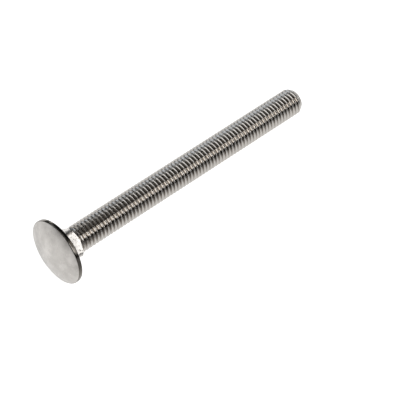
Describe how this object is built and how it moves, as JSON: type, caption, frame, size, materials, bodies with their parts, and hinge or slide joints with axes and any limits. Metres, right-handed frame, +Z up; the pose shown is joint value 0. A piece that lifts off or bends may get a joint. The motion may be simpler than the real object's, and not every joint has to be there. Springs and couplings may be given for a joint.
{
  "type": "carriage bolt",
  "caption": "Stainless carriage bolt with a shallow domed head, a square neck under it and a long shank threaded all along, lying on its rim and tip.",
  "frame": {"origin": "on the surface that the bolt lies on, under the middle of its length", "axes": "+Z up; the bolt's axis lies over the X axis and falls 3.64 degrees towards the tip at +X, with the head at -X"},
  "size_m": [0.1138, 0.0234, 0.0235],
  "materials": {
    "stainless_steel": "satin, as forged and rolled, with a bright thread"
  },
  "bodies": {
    "root": {"carriage_bolt": "stainless_steel"}
  },
  "joints": []
}
